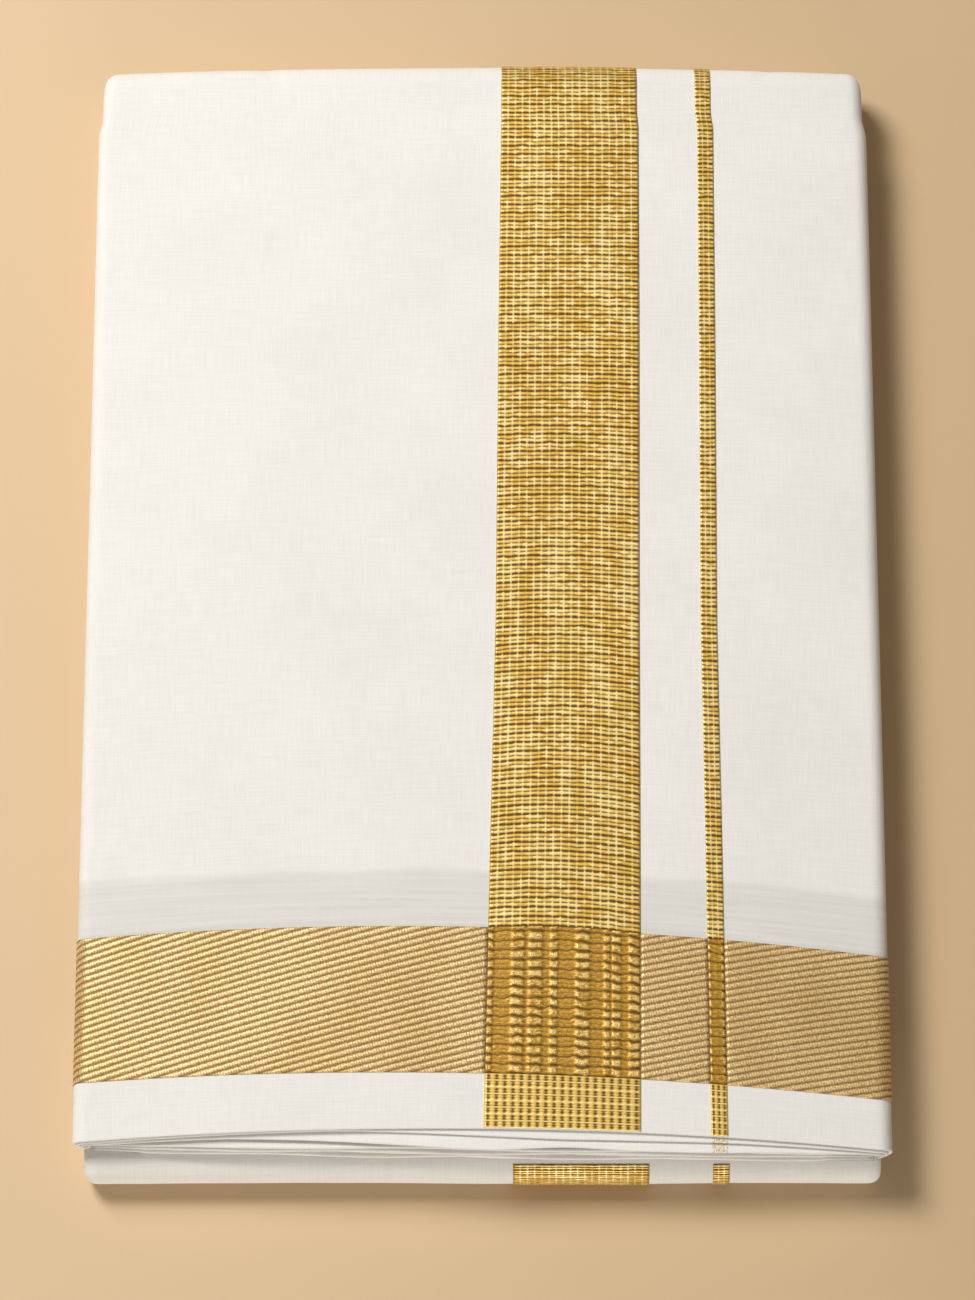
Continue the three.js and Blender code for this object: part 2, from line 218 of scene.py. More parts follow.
# %% Lights, sky and floor
LIGHTS = [
    {"name": "key", "place": (-0.92, 0.86, 1.80), "size": 0.80, "power": 44.5},
    {"name": "front", "place": (-0.05, -1.50, 0.27), "size": 0.5, "power": 9.5},
]
LIGHT_COLOUR = (1.0, 0.985, 0.96)
SKY = {"colour": (1.0, 0.94, 0.84), "strength": 0.21}
FLOOR = {
    "half": 6.0,                # metres from its middle to its edge
    # The left colour is lighter than the right: a painted falloff of the key light, which stands
    # at the left.
    "left": (0.735, 0.540, 0.335, 1),
    "right": (0.615, 0.440, 0.255, 1),
    "blend": 0.2,               # metres to each side over which the colour changes
    "roughness": 0.8,
}


def add_light(panel):
    """A square area light that faces the packet."""
    data = bpy.data.lights.new(panel["name"], "AREA")
    data.size = panel["size"]
    data.energy = panel["power"]
    data.color = LIGHT_COLOUR
    light = bpy.data.objects.new(panel["name"], data)
    place = np.array(panel["place"])
    light.location = place
    flat_reach = np.hypot(place[0], place[1])
    light.rotation_euler = (0, np.arctan2(flat_reach, place[2]), np.arctan2(place[1], place[0]))
    bpy.context.scene.collection.objects.link(light)


def add_sky():
    """A plain pale world."""
    world = bpy.data.worlds.new("sky")
    world.use_nodes = True
    background = world.node_tree.nodes["Background"]
    background.inputs["Color"].default_value = (*SKY["colour"], 1)
    background.inputs["Strength"].default_value = SKY["strength"]
    bpy.context.scene.world = world


def add_floor():
    """A plain square under the packet. Its colour is painted lighter on the left and deeper to the
    right, a painted falloff of the key light that stands at the left.
    """
    half = FLOOR["half"]
    corners = [(-half, -half, 0), (half, -half, 0), (half, half, 0), (-half, half, 0)]
    mesh = bpy.data.meshes.new("floor")
    mesh.from_pydata(corners, [], [(0, 1, 2, 3)])
    floor = bpy.data.objects.new("floor", mesh)
    paint = Finish("floor_paint")
    place = paint.node("ShaderNodeTexCoord", output="Object")
    sideways = paint.node("ShaderNodeSeparateXYZ", None, {0: place})
    inputs = {"Value": sideways, "From Min": -FLOOR["blend"], "From Max": FLOOR["blend"]}
    share = paint.node("ShaderNodeMapRange", None, inputs)
    # Painted falloff of light: lighter on the left, deeper to the right.
    colour = paint.blend(share, FLOOR["left"], FLOOR["right"])
    paint.feed(paint.shader.inputs["Base Color"], colour)
    paint.shader.inputs["Roughness"].default_value = FLOOR["roughness"]
    mesh.materials.append(paint.material)
    bpy.context.scene.collection.objects.link(floor)


for panel in LIGHTS:
    add_light(panel)
add_sky()
add_floor()
bpy.context.scene.view_settings.view_transform = "Standard"
print(len(LIGHTS), "soft panels light the floor and the packet")

# %% [markdown]
# ## The ribbon's two routes
# The cloth is folded across its width into a ribbon of layers, and the ribbon is folded into
# an S. The outer layer of each turn is a sheet that follows a route: straight, then half an
# ellipse, then straight again. Each route takes a distance along the cloth and gives a place
# and an outward direction in the side view, with the shape of the arm there. All sizes below
# are millimetres.

# %% Sizes
HEIGHT = wrap_high[2] - wrap_low[2]
HALF_WIDTH = wrap_high[0]
BACK = wrap_high[1]
FRONT = fold_low[1]
FOLD_HEIGHT = fold_high[2] - fold_low[2]
FOLD_HALF_WIDTH = fold_high[0]
OPEN_END = -185.6               # the open end's edge, at the middle
BACK_REACH = 13.0               # how far the back turn bulges
TURN_START = BACK - BACK_REACH
FRONT_REACH = FOLD_HEIGHT / 2
FRONT_START = FRONT + FRONT_REACH
SEAM = fold_high[1]             # the two sheets meet here, under the packet
FOLD_END = -140.0
TUCK = 14.0                     # how far a side fold reaches back under its own arm
CROWN_POWER = 2.4               # how late the crown falls away towards the sides
PINCH = {"depth": 1.3, "before_turn": 16.0, "over": 8.0}
TOP_ARM = {"half_width": HALF_WIDTH, "round": 4.8, "thickness": 9.2, "crown": 3.0}
LOW_ARM = {"half_width": FOLD_HALF_WIDTH, "round": 3.8, "thickness": 7.4, "crown": 0.0}
TOP_FLAT = TOP_ARM["half_width"] - TOP_ARM["round"]
LOW_FLAT = LOW_ARM["half_width"] - LOW_ARM["round"]


def half_ellipse(reach, half_height):
    """About half the way round an ellipse: pi times the root mean square of its half axes."""
    return np.pi * np.sqrt((reach**2 + half_height**2) / 2)


WRAP_TOP = TURN_START - OPEN_END
WRAP_TURN = half_ellipse(BACK_REACH, HEIGHT / 2)
WRAP_LENGTH = WRAP_TOP + WRAP_TURN + TURN_START - SEAM
FOLD_BOTTOM = SEAM - FRONT_START
FOLD_TURN = half_ellipse(FRONT_REACH, FRONT_REACH)
FOLD_LENGTH = FOLD_BOTTOM + FOLD_TURN + FOLD_END - FRONT_START
print("along the wrap:", round(WRAP_LENGTH), "mm, along the lower fold:", round(FOLD_LENGTH), "mm")


# %% Routes
def ease(t):
    """0 below 0, 1 above 1, and a smooth cubic between."""
    t = np.clip(t, 0, 1)
    return t * t * (3 - 2 * t)


def mix(a, b, t):
    """From a to b as t goes from 0 to 1."""
    return a + (b - a) * t


def wrap_route(along):
    """Straight over the top, half an ellipse down the back, straight under the packet.
    The packet is pinched a little where the outer layer is drawn tight into the turn."""
    turn = np.clip((along - WRAP_TOP) / WRAP_TURN, 0, 1)
    angle = np.pi * turn
    over = np.where(along <= WRAP_TOP, OPEN_END + along, TURN_START)
    past = np.maximum(along - WRAP_TOP - WRAP_TURN, 0)
    tilt = np.stack([np.sin(angle) / BACK_REACH, np.cos(angle) / (HEIGHT / 2)])
    tilt = tilt / np.hypot(*tilt)
    share = ease(turn)
    arm = {key: mix(TOP_ARM[key], LOW_ARM[key], share) for key in TOP_ARM}
    starts = WRAP_TOP - PINCH["before_turn"]
    pinch = PINCH["depth"] * ease((along - starts) / PINCH["over"]) * (1 - share)
    arm["half_width"] = arm["half_width"] - pinch
    return {
        "y": over + BACK_REACH * np.sin(angle) - past,
        "z": HEIGHT / 2 * (1 + np.cos(angle)),
        "tilt": tilt,
        "arm": arm,
    }


def fold_route(along):
    """Straight under the packet, half an ellipse up the front, straight back inside."""
    angle = np.pi * (1 - np.clip((along - FOLD_BOTTOM) / FOLD_TURN, 0, 1))
    under = np.where(along <= FOLD_BOTTOM, SEAM - along, FRONT_START)
    past = np.maximum(along - FOLD_BOTTOM - FOLD_TURN, 0)
    return {
        "y": under - FRONT_REACH * np.sin(angle) + past,
        "z": FOLD_HEIGHT / 2 * (1 + np.cos(angle)),
        "tilt": np.stack([-np.sin(angle), np.cos(angle)]),
        "arm": LOW_ARM,
    }


# %% [markdown]
# ## The section across an arm
# Across an arm the sheet is a low crown, then a rounded side fold, then a short tuck back under
# the arm. One number says where a point is: up to 1 on the face, 1 to 2 on the side fold, 2 to
# 3 on the tuck, negative on the left. The offset moves a point inward, square to the sheet.

# %% Section
def section(arm, across, offset):
    """Sideways place and depth. The face is a power curve, the side fold half an ellipse, and
    the tuck a straight line. The offset goes along each curve's own normal."""
    side = np.where(across < 0, -1.0, 1.0)
    part = np.abs(across)
    flat = arm["half_width"] - arm["round"]
    half = arm["thickness"] / 2
    on_face = np.minimum(part, 1)
    slope = arm["crown"] * CROWN_POWER * on_face ** (CROWN_POWER - 1) / flat
    size = np.hypot(slope, 1)
    face_x = on_face * flat - offset * slope / size
    face_depth = arm["crown"] * on_face**CROWN_POWER + offset / size
    angle = np.pi * np.clip(part - 1, 0, 1)
    out_x = np.sin(angle) / arm["round"]
    out_z = np.cos(angle) / half
    size = np.hypot(out_x, out_z)
    round_x = flat + arm["round"] * np.sin(angle) - offset * out_x / size
    round_depth = arm["crown"] + half * (1 - np.cos(angle)) + offset * out_z / size
    tuck_x = flat - (part - 2) * TUCK
    tuck_depth = arm["crown"] + arm["thickness"] - offset
    x = np.where(part <= 1, face_x, np.where(part <= 2, round_x, tuck_x))
    depth = np.where(part <= 1, face_depth, np.where(part <= 2, round_depth, tuck_depth))
    return side * x, depth


def on_route(route, along, across, offset):
    """The route's place, less the section's depth along the route's outward direction."""
    at = route(along)
    x, depth = section(at["arm"], across, offset)
    y = at["y"] - depth * at["tilt"][0]
    z = at["z"] - depth * at["tilt"][1]
    return np.stack(np.broadcast_arrays(x, y, z), axis=-1)


# %% [markdown]
# ## Weft lines, and low creases
# Near its end the cloth was not pulled quite square, so its weft lines droop towards the sides.
# A short table holds how far. A second table places the creases: each is a soft trough
# or ridge along a line, uneven in length and depth. The gold work lies on the same surface and
# follows the same creases.

# %% Droop and creases
WEFT_DROOP = {
    "along": [0, 18.5, 67.9, 190, 330],
    "left": [3.5, 2.3, 3.0, 1.2, 0],
    "right": [6.2, 8.0, 8.9, 3.4, 0],
}
# Distance along and across at both ends of the crease, its half width, and its height.
CREASES = [
    {"name": "press line", "from": (88.0, -126), "to": (89.5, 126), "half": 2.2, "height": 0.16},
    {"name": "left pull", "from": (73.5, -128), "to": (80.0, -8), "half": 1.1, "height": -0.30},
    {"name": "left echo", "from": (77.5, -90), "to": (83.0, 4), "half": 1.3, "height": -0.16},
    {"name": "right pull", "from": (84.0, 54), "to": (77.5, 128), "half": 1.1, "height": -0.26},
    {"name": "right echo", "from": (79.0, 56), "to": (72.5, 122), "half": 1.0, "height": -0.16},
    {"name": "back ripple", "from": (352, -96), "to": (357, 70), "half": 5.0, "height": 0.22},
    {"name": "turn pucker", "from": (368, -70), "to": (402, -82), "half": 3.0, "height": -0.32},
    {"name": "turn pucker 2", "from": (372, 96), "to": (398, 104), "half": 2.4, "height": -0.28},
    {"name": "turn pucker 3", "from": (376, 18), "to": (404, 8), "half": 3.6, "height": -0.22},
    {"name": "long swell", "from": (120, -84), "to": (300, -70), "half": 26, "height": 0.30},
    {"name": "long dip", "from": (110, 28), "to": (330, 24), "half": 20, "height": -0.22},
]
CREASE_STARTS, CREASE_ENDS = 0.25, 0.30     # shares of a crease's length where it fades
BROAD_WAVE = {"height": 0.10, "across": 41, "along": 57, "from": (0.6, 1.1)}
FINE_WAVE = {"height": 0.06, "across": 17, "along": 29}
SIDE_LIMIT = 1.3                # relief is read no further round the side than this


def droop(along, across):
    """A parabola across the cloth, through the middle and the two sides' table values."""
    part = np.clip(across, -1, 1)
    left = np.interp(along, WEFT_DROOP["along"], WEFT_DROOP["left"])
    right = np.interp(along, WEFT_DROOP["along"], WEFT_DROOP["right"])
    return (right - left) / 2 * part + (right + left) / 2 * part**2


def crease_height(along, sideways, creases):
    """The sum over the creases of height times a bell curve of the distance to the line."""
    total = np.zeros(np.broadcast(along, sideways).shape)
    for crease in creases:
        start, end = np.array(crease["from"], float), np.array(crease["to"], float)
        line = end - start
        length = np.hypot(*line)
        run = ((along - start[0]) * line[0] + (sideways - start[1]) * line[1]) / length**2
        off = ((along - start[0]) * line[1] - (sideways - start[1]) * line[0]) / length
        fade = ease(run / CREASE_STARTS) * ease((1 - run) / CREASE_ENDS)
        total = total + crease["height"] * fade * np.exp(-((off / crease["half"]) ** 2))
    return total


def wrap_relief(along, across):
    """Creases plus two slow waves, which die out before the face that rests on the surface."""
    sideways = np.clip(across, -SIDE_LIMIT, SIDE_LIMIT) * TOP_FLAT
    broad, fine = BROAD_WAVE, FINE_WAVE
    waves = np.sin(sideways / broad["across"] + broad["from"][0])
    waves = broad["height"] * waves * np.sin(along / broad["along"] + broad["from"][1])
    slant = sideways / fine["across"] + along / fine["along"]
    waves = waves + fine["height"] * np.sin(slant)
    rests = ease((along - WRAP_TOP - WRAP_TURN * 0.4) / (WRAP_TURN * 0.5))
    waves = waves * ease(2 - np.abs(across)) * (1 - rests)
    return crease_height(along, sideways, CREASES) * ease((2 - np.abs(across)) * 2) + waves


def wrap_place(along, across, offset):
    """A point of the wrap: its weft line droops forward, and its relief stands out."""
    cloth = along - droop(along, across)
    return on_route(wrap_route, cloth, across, offset - wrap_relief(along, across))


print(len(CREASES), "creases are placed on the wrap")

# %% [markdown]
# ## From a grid to a closed wall
# Each piece is a wall of cloth: an outer grid of points, the same grid moved inward, and a strip
# round the rim. The whole grid is worked out as arrays, and the mesh takes them in one go.
# Its UV map holds the place on the cloth, so a woven pattern follows every fold.

# %% Wall builder
def grid_faces(rows, columns):
    """Quads of an outer grid, an inner grid turned over, and a strip that joins their rims."""
    a = (np.arange(rows - 1)[:, None] * columns + np.arange(columns - 1)).ravel()
    outer = np.stack([a, a + 1, a + columns + 1, a + columns], axis=1)
    layer = rows * columns
    inner = outer[:, ::-1] + layer
    top = np.arange(columns)
    right = np.arange(1, rows) * columns + columns - 1
    bottom = (rows - 1) * columns + np.arange(columns - 2, -1, -1)
    left = np.arange(rows - 2, 0, -1) * columns
    rim = np.concatenate([top, right, bottom, left])
    following = np.roll(rim, -1)
    strip = np.stack([rim, rim + layer, following + layer, following], axis=1)
    return np.concatenate([outer, inner, strip])


def mesh_object(name, points, faces, uv):
    """A smooth-shaded mesh from arrays: points in millimetres, quads, and a UV per point."""
    mesh = bpy.data.meshes.new(name)
    mesh.vertices.add(len(points))
    mesh.vertices.foreach_set("co", (points * MM).astype(np.float32).ravel())
    mesh.loops.add(faces.size)
    mesh.loops.foreach_set("vertex_index", faces.astype(np.int32).ravel())
    mesh.polygons.add(len(faces))
    mesh.polygons.foreach_set("loop_start", np.arange(len(faces), dtype=np.int32) * 4)
    mesh.polygons.foreach_set("use_smooth", np.ones(len(faces), bool))
    mesh.update(calc_edges=True)
    layer = mesh.uv_layers.new(name="weave")
    layer.data.foreach_set("uv", uv[faces.ravel()].astype(np.float32).ravel())
    mesh.validate()
    made = bpy.data.objects.new(name, mesh)
    bpy.context.scene.collection.objects.link(made)
    return made


def cloth_wall(name, along, across, outer, inner, place, uv):
    """The closed wall between two offsets of a surface. Grids broadcast to rows by columns."""
    along, across, outer, inner = np.broadcast_arrays(along, across, outer, inner)
    rows, columns = along.shape
    sheets = [place(along, across, offset).reshape(-1, 3) for offset in (outer, inner)]
    flat_uv = np.stack(np.broadcast_arrays(*uv), axis=-1).reshape(-1, 2)
    points = np.concatenate(sheets)
    faces = grid_faces(rows, columns)
    made = mesh_object(name, points, faces, np.concatenate([flat_uv, flat_uv]))
    print(name, "has", 2 * len(faces), "triangles")
    return made


# %% Edges and spacing
def rounded_edge(distance, thickness):
    """How far in the outer face moves near an edge, so that the edge is half a circle."""
    half = thickness / 2
    inside = np.clip(half - distance, 0, half)
    return half - np.sqrt(half**2 - inside**2)


def spread(breaks, spacing):
    """Values through the break points, in even steps no longer than each stretch's spacing."""
    stretches = []
    for start, end, step in zip(breaks[:-1], breaks[1:], spacing):
        count = max(1, int(np.ceil(abs(end - start) / step)))
        stretches.append(np.linspace(start, end, count + 1)[:-1])
    return np.append(np.concatenate(stretches), breaks[-1])


# %% [markdown]
# ## White stretches of the cloth
# The outer wrap is the sheet that is seen most, so its grid is finest where the creases and the
# folds are. Its open edge is rounded over half the cloth's thickness, as a pressed edge is.

# %% Outer wrap
CLOTH = 1.1                     # wall thickness of a stretch of cloth
EDGE_ROWS = np.array([0, 0.04, 0.16, 0.36, 0.62]) * CLOTH
EDGE_END = 1.2                  # the rows after the rounded edge start here
WRAP_SPACING = [2.0, 1.0, 2.4, 1.4, 6.0]    # open end, creases, top, back turn, underside


def side_columns(last, count):
    """Columns round a side fold and along its tuck, from the face's edge outward."""
    rounds = np.linspace(1, 2, count + 1)[1:]
    return np.concatenate([rounds, [2.5, 3]]) if last == 3 else rounds[rounds <= last]


def across_columns(face_count, round_count, last=3):
    """Columns from the left tuck over the face to the right tuck."""
    right = side_columns(last, round_count)
    return np.concatenate([-right[::-1], np.linspace(-1, 1, face_count + 1), right])


def millimetres_across(across, arm):
    """Distance from the cloth's middle, measured on the sheet."""
    flat = arm["half_width"] - arm["round"]
    fold = half_ellipse(arm["round"], arm["thickness"] / 2)
    part = np.abs(across)
    sheet = np.minimum(part, 1) * flat + np.clip(part - 1, 0, 1) * fold
    return np.sign(across) * (sheet + np.maximum(part - 2, 0) * TUCK)


def make_outer_wrap():
    """The sheet from the open end over the top, down the back and in under the packet."""
    breaks = [EDGE_END, 60, 95, WRAP_TOP, WRAP_TOP + WRAP_TURN, WRAP_LENGTH]
    along = np.append(EDGE_ROWS, spread(breaks, WRAP_SPACING))[:, None]
    across = across_columns(112, 16)[None, :]
    inset = rounded_edge(along, CLOTH)
    uv = (millimetres_across(across, TOP_ARM), along)
    return cloth_wall("outer_wrap_cloth", along, across, inset, CLOTH - inset, wrap_place, uv)


outer_wrap = make_outer_wrap()

# %% [markdown]
# The lower fold is the sheet round the front turn. Where it was folded back it keeps a few low
# tucks that run along the turn. The part that rests on the surface stays flat.

# %% Lower fold
FOLD_CREASES = [
    {"name": "left tuck", "from": (346, -120), "to": (352, -40), "half": 1.6, "height": -0.22},
    {"name": "mid tuck", "from": (349, -20), "to": (345, 34), "half": 1.4, "height": -0.18},
    {"name": "right tuck", "from": (343, 60), "to": (351, 122), "half": 1.5, "height": -0.20},
]
FOLD_WAVES = [
    {"height": 0.12, "across": 23.0, "from": 0.4},
    {"height": 0.07, "across": 9.5, "from": 2.0},
]
FOLD_CLEAR = {"after": 3.0, "over": 6.0}    # relief starts this far past the resting face


def fold_relief(along, across):
    """Sines across the cloth plus the creases, none on the face that rests on the surface."""
    sideways = np.clip(across, -SIDE_LIMIT, SIDE_LIMIT) * LOW_FLAT
    waves = sum(w["height"] * np.sin(sideways / w["across"] + w["from"]) for w in FOLD_WAVES)
    clear = ease((along - FOLD_BOTTOM - FOLD_CLEAR["after"]) / FOLD_CLEAR["over"])
    clear = clear * ease(2 - np.abs(across))
    return clear * (waves + crease_height(along, sideways, FOLD_CREASES))


def fold_place(along, across, offset):
    """A point of the lower fold, with its relief."""
    return on_route(fold_route, along, across, offset - fold_relief(along, across))


def make_lower_fold():
    """The sheet under the packet, round the front turn and a little way back inside."""
    breaks = [0, FOLD_BOTTOM - 20, FOLD_BOTTOM, FOLD_BOTTOM + FOLD_TURN, FOLD_LENGTH]
    along = spread(breaks, [14, 2.5, 0.9, 6])[:, None]
    across = across_columns(120, 14)[None, :]
    uv = (millimetres_across(across, LOW_ARM), along)
    return cloth_wall("lower_fold_cloth", along, across, 0, CLOTH, fold_place, uv)


lower_fold = make_lower_fold()

# %% [markdown]
# The leaves below the wrap come forward by different amounts, and each edge wanders on its own.
# A short table for each leaf holds how far its edge lies in front of the wrap's edge.

# %% Leaves under the wrap
LEAF = 0.9                      # thickness of a leaf
LEAF_GAP = 0.25                 # space to the leaf above
LEAF_END = 168.0                # where the leaves end inside the packet
LEAF_RELIEF = 0.8               # share of the wrap's relief that a leaf follows
LEAF_SAMPLES, LEAF_SMOOTH = 240, 19
LEAVES = [
    {
        "name": "second_leaf",
        "x": [-130, -84, -45, -20, 2, 25, 51, 80, 115, 130],
        "lead": [0.5, 0.35, 0.25, 1.2, 2.1, 2.8, 2.4, 1.5, 0.9, 0.7],
    },
    {
        "name": "third_leaf",
        "x": [-130, -84, -55, -26, 2, 27, 51, 75, 100, 130],
        "lead": [0.8, 1.3, 2.9, 4.9, 6.6, 5.0, 5.6, 4.9, 3.0, 1.1],
    },
]


def leaf_front(leaf, across):
    """Where a leaf's edge lies, as a distance along the wrap's route, below 0: the table's
    lead, smoothed by a moving average with a bell of weights, and the weft's droop."""
    sideways = np.clip(across, -1, 1) * TOP_FLAT
    samples = np.linspace(-TOP_FLAT, TOP_FLAT, LEAF_SAMPLES)
    lead = np.interp(samples, leaf["x"], leaf["lead"])
    bell = np.hanning(LEAF_SMOOTH) / np.hanning(LEAF_SMOOTH).sum()
    lead = np.convolve(np.pad(lead, LEAF_SMOOTH // 2, mode="edge"), bell, mode="valid")
    return -np.interp(sideways, samples, lead) - droop(0, across)


def make_leaf(order):
    """The wrap's section moved in, from the leaf's own wandering edge to its far end."""
    leaf = LEAVES[order]
    across = across_columns(150, 14, last=2)[None, :]
    run = LEAF_END - OPEN_END
    distance = np.append(EDGE_ROWS, spread([EDGE_END, 24, run], [1.2, 12]))[:, None]
    share = distance / run
    front = leaf_front(leaf, across)
    outer = CLOTH + LEAF_GAP + order * (LEAF + LEAF_GAP)
    inset = rounded_edge(distance, LEAF)

    def place(along, across, offset):
        cloth = mix(front, run, along)
        relief = wrap_relief(cloth, across) * LEAF_RELIEF
        return on_route(wrap_route, cloth, across, offset - relief)

    uv = (millimetres_across(across, TOP_ARM), distance)
    name = leaf["name"] + "_cloth"
    return cloth_wall(name, share, across, outer + inset, outer + LEAF - inset, place, uv)


second_leaf, third_leaf = make_leaf(0), make_leaf(1)

# %% [markdown]
# ## The hidden layers
# Inside are about fifty layers, of which only edges show: at the open end between the leaves and
# the lower fold, and at the sides, along the middle arm. So this piece is a stack of thin leaves.
# Each has a rounded edge and its own small lead, and the sides of the middle arm are nested
# rounds, the way pressed folds look from the side.

# %% Inner layers
INSIDE_TOP = 4.1                # depth below the wrap's face where the filling starts
OPEN_LAYERS = [
    {"left": 0.5, "middle": 5.9, "right": 0.8},
    {"left": 1.0, "middle": 6.7, "right": 1.5},
    {"left": 0.6, "middle": 6.2, "right": 1.0},
    {"left": 1.4, "middle": 7.2, "right": 1.9},
    {"left": 0.8, "middle": 6.5, "right": 1.2},
]
OPEN_REACH = 30                 # how far the stacked leaves go in
OPEN_EDGE = 1.0                 # thickness over which their edges are rounded
OPEN_INSET = 0.4                # they stay this far inside the face's edge
OPEN_WANDER = 0.35
BLOCK_TOP = 17.3                # the stack's underside near the sides
STACK_GAPS = (0.06, 0.98)       # a leaf's top and underside, as shares of its place
MIDDLE_LAYERS = 5
MIDDLE = {"deep": 22.0, "round": 1.6, "inset": 0.6, "step": 0.5, "far_inset": 3.0}
MIDDLE_WANDER = [
    {"height": 0.45, "along": 31},
    {"height": 0.25, "along": 11},
]


def joined_walls(name, walls):
    """One mesh from several walls, given as points, faces and UVs."""
    starts = np.cumsum([0] + [len(points) for points, _, _ in walls[:-1]])
    faces = np.concatenate([wall[1] + start for wall, start in zip(walls, starts)])
    points = np.concatenate([wall[0] for wall in walls])
    made = mesh_object(name, points, faces, np.concatenate([wall[2] for wall in walls]))
    print(name, "has", 2 * len(faces), "triangles")
    return made


def open_layer(order):
    """A thin leaf that fills its share of the height between the leaves and the lower fold.
    Its front is a parabola through the middle's and the sides' leads, less a small sine."""
    layer = OPEN_LAYERS[order]
    part = np.linspace(-0.995, 0.995, 110)[None, :]
    side = np.where(part < 0, layer["left"], layer["right"])
    wander = OPEN_WANDER * np.sin(part * (9 + order) + order * 1.7) * (1 - part**2)
    front = OPEN_END - mix(layer["middle"], side, part**2) - droop(0, part) - wander
    top = HEIGHT - INSIDE_TOP - TOP_ARM["crown"] * np.abs(part) ** CROWN_POWER
    bottom = mix(FOLD_HEIGHT + 0.3, BLOCK_TOP, ease((np.abs(part) - 0.85) / 0.04))
    distance = np.append(EDGE_ROWS, spread([EDGE_END, 6, OPEN_REACH], [1.6, 8]))[:, None]
    thick = (top - bottom) / len(OPEN_LAYERS)
    edge = rounded_edge(distance, OPEN_EDGE)
    sheets = []
    for share, turn in zip(STACK_GAPS, (edge, -edge)):
        x = part * (TOP_FLAT - OPEN_INSET) + 0 * distance
        y = front + distance
        z = top - thick * (order + share) - turn
        sheets.append(np.stack([x, y, z], axis=-1).reshape(-1, 3))
    uv = np.stack(np.broadcast_arrays(part * TOP_FLAT, distance + 40 * order), -1).reshape(-1, 2)
    faces = grid_faces(distance.shape[0], part.shape[1])
    return np.concatenate(sheets), faces, np.concatenate([uv, uv])


def middle_layer(order, side):
    """A narrow folded leaf down one side of the middle arm: half an ellipse in section, whose
    edge wanders by two sines and draws in towards the far end."""
    thick = LOW_ARM["thickness"] / MIDDLE_LAYERS
    top = FOLD_HEIGHT - thick * order
    end = TURN_START + 1
    y = spread([FOLD_END + 0.3, end - 7, end], [3.0, 1.0])[:, None]
    angle = np.linspace(0, np.pi, 11)[None, :]
    slow, fast = MIDDLE_WANDER
    wander = slow["height"] * np.sin(y / slow["along"] + order * 2.1 + side)
    wander = wander + fast["height"] * np.sin(y / fast["along"] + order)
    drawn_in = MIDDLE["far_inset"] * (1 - ease((end - y) / 5))
    step = MIDDLE["step"] * ((order * 2 + 1) % 3)
    reach = LOW_ARM["half_width"] - MIDDLE["inset"] - step + wander
    outer_x = reach - drawn_in - MIDDLE["round"] * (1 - np.sin(angle))
    inner_x = reach - MIDDLE["deep"] + 0 * angle
    z = top - thick * 0.5 * (1 - np.cos(angle)) + 0 * y
    sheets = [
        np.stack(np.broadcast_arrays(side * x, y, z), -1).reshape(-1, 3)
        for x in (outer_x, inner_x)
    ]
    faces = grid_faces(y.shape[0], angle.shape[1])
    if side < 0:
        faces = faces[:, ::-1]
    uv = np.stack(np.broadcast_arrays(y, angle + 10 * order), -1).reshape(-1, 2)
    return np.concatenate(sheets), faces, np.concatenate([uv, uv])


def make_inner_layers():
    """The stack at the open end, and the folded edges along both sides."""
    walls = [open_layer(order) for order in range(len(OPEN_LAYERS))]
    for side in (-1, 1):
        walls += [middle_layer(order, side) for order in range(MIDDLE_LAYERS)]
    return joined_walls("inner_layers", walls)


inner_layers = make_inner_layers()

# %% [markdown]
# ## The gold work
# Zari ribs stand a little above the cotton. A border is a grid of ribs: every row of weft makes
# a low rib with a groove beside it, every second groove is deeper, and the gilt warp lines cross
# the grooves and break them into short dashes. The relief is real, three points to a rib, and
# the UV map counts ribs, so colour and relief agree.

# %% Places of the stripes
WIDE_BORDER = {
    "along": [0, 107, 175, 278, 371, 460],
    "left": [0.4, 2.8, 4.4, 5.4, 6.6, 6.8],
    "right": [51.2, 52.0, 52.4, 53.3, 53.8, 54.0],
    "bow": [0, 1.7, 1.2, 0.4, 0, 0],
}
NARROW_STRIPE = {
    "along": [0, 107, 175, 278, 460],
    "left": [74.0, 73.4, 72.9, 73.7, 74.6],
    "right": [79.4, 78.8, 78.3, 79.1, 80.0],
    "bow": [0, 0, 0, 0, 0],
}
BAND_NEAR, BAND_FAR = 18.5, 67.9
RIB = 1.58                      # from one weft rib to the next
GOLD = 0.32                     # thickness of a strip of gold work
LIFT = 0.04                     # it lies this far above the cotton
STRIPE_END = WRAP_TOP + WRAP_TURN * 0.86    # low on the back turn, clear of the surface
HEM_START, HEM_RIB = 0.35, 0.9
GAP = 0.1                       # between the end band and what lies beside it
BORDER_COLUMNS, STRIPE_COLUMNS = 19, 3
SAMPLES = 3                     # points to a rib and to a column
BOW_OVER = 40                   # the rows' bow comes in over this distance
DEEP_GROOVE = {"depth": 0.20, "half": 0.17}
SHALLOW_GROOVE = {"depth": 0.11, "half": 0.14}
WARP_LINE = {"fills": 0.7, "half": 0.3}     # how much of a groove a warp line fills


def groove(phase, width):
    """1 at whole numbers and 0 between, with smooth sides: a groove seen across the ribs."""
    near = np.abs(phase - np.round(phase))
    return 1 - ease(near / width)


def grid_relief(column, row):
    """Deep and shallow grooves by turns, broken where the gilt warp lines cross them."""
    deep = DEEP_GROOVE["depth"] * groove(row / 2, DEEP_GROOVE["half"])
    shallow = SHALLOW_GROOVE["depth"] * groove(row / 2 + 0.5, SHALLOW_GROOVE["half"])
    broken = 1 - WARP_LINE["fills"] * groove(column, WARP_LINE["half"])
    return -(deep + shallow) * broken


def rib_counts(ribs, columns):
    """A row and a column of rib counts, with the same number of points to each rib."""
    row = np.linspace(0, ribs, ribs * SAMPLES + 1)[:, None]
    column = np.linspace(0, columns, columns * SAMPLES + 1)[None, :]
    return row, column


